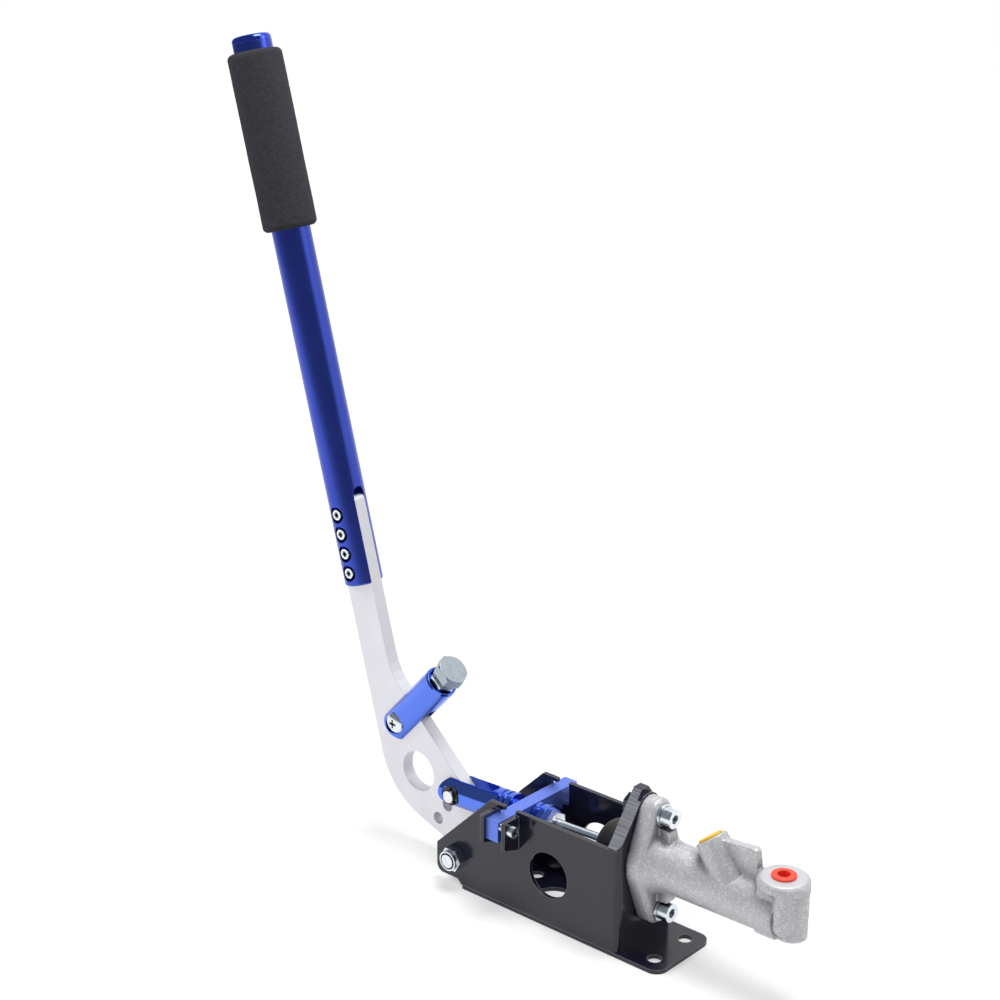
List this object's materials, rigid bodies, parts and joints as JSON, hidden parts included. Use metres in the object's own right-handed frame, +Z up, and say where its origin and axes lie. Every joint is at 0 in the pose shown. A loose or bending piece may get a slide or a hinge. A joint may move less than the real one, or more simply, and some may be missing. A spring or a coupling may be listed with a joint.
{
  "type": "hydraulic hand brake lever",
  "caption": "Upright hand brake: a leaning lever with a foam grip on a folded floor bracket pushes the rod of a small master cylinder bolted to the bracket's front wall.",
  "frame": {"origin": "on the mounting face, in the middle plane, below the outside of the bracket's front wall", "axes": "+X from the lever to the master cylinder, +Z up, away from the floor, +Y across the bracket so that the frame is right-handed"},
  "size_m": [0.5076, 0.09, 0.5783],
  "materials": {
    "bracket_black": "satin black powder coat",
    "bar_blue": "matte blue anodised",
    "anodised_blue": "bright blue anodised",
    "blasted_alloy": "blasted satin",
    "cast_alloy": "as cast, shot blasted",
    "zinc_steel": "bright zinc plated",
    "spring_steel": "blackened spring steel",
    "bronze": "sintered bronze",
    "rubber": "matte black",
    "foam": "matte closed-cell foam",
    "red_plastic": "soft red transport plug",
    "yellow_plastic": "soft yellow transport cap"
  },
  "bodies": {
    "bracket": {"base_plate": "bracket_black", "side_frame": "bracket_black", "backing_plate": "bracket_black", "stop_bar": "bar_blue", "stop_bar_screws": "zinc_steel", "pivot_bolt": "zinc_steel", "pivot_nut": "zinc_steel", "pivot_sleeve": "zinc_steel", "pivot_spacers": "zinc_steel", "cylinder_body": "cast_alloy", "cylinder_bolts": "zinc_steel", "cylinder_washers": "zinc_steel", "cylinder_nuts": "zinc_steel", "dust_boot": "rubber", "stop_washer": "zinc_steel", "retaining_ring": "spring_steel", "outlet_plug": "red_plastic", "inlet_cap": "yellow_plastic", "return_spring": "spring_steel"},
    "lever": {"lever_plate": "blasted_alloy", "pivot_bush": "bronze", "handle_tube": "anodised_blue", "end_cap": "anodised_blue", "foam_grip": "foam", "handle_screws": "zinc_steel", "stop_fork": "anodised_blue", "stop_fork_screw": "zinc_steel", "stop_fork_nut": "zinc_steel", "stop_bolt": "zinc_steel", "stop_jam_nut": "zinc_steel"},
    "push_rod": {"clevis": "anodised_blue", "clevis_pin": "zinc_steel", "clevis_clip": "spring_steel", "clevis_jam_nut": "zinc_steel", "push_rod": "zinc_steel"},
    "piston": {"piston": "zinc_steel", "primary_seal": "rubber", "secondary_seal": "rubber"}
  },
  "joints": [
    {"name": "lever_pivot", "type": "hinge", "parent": "bracket", "child": "lever", "pos_m": [-0.145, 0, 0.024], "axis": [0, 1, 0], "range_deg": [0, 12]},
    {"name": "clevis_pivot", "type": "hinge", "parent": "lever", "child": "push_rod", "pos_m": [-0.168, 0, 0.0566], "axis": [0, 1, 0], "range_deg": [-12, 0.5]},
    {"name": "piston_slide", "type": "slide", "parent": "bracket", "child": "piston", "axis": [1, 0, 0], "range_m": [0, 0.008], "stiffness_N_per_m": 1500, "springref_m": -0.01, "deforming": ["return_spring"]}
  ],
  "couplings": [
    {"joint": "clevis_pivot", "follows": "lever_pivot", "ratio": -0.886},
    {"joint": "piston_slide", "follows": "lever_pivot", "m_per_rad": 0.03548}
  ]
}
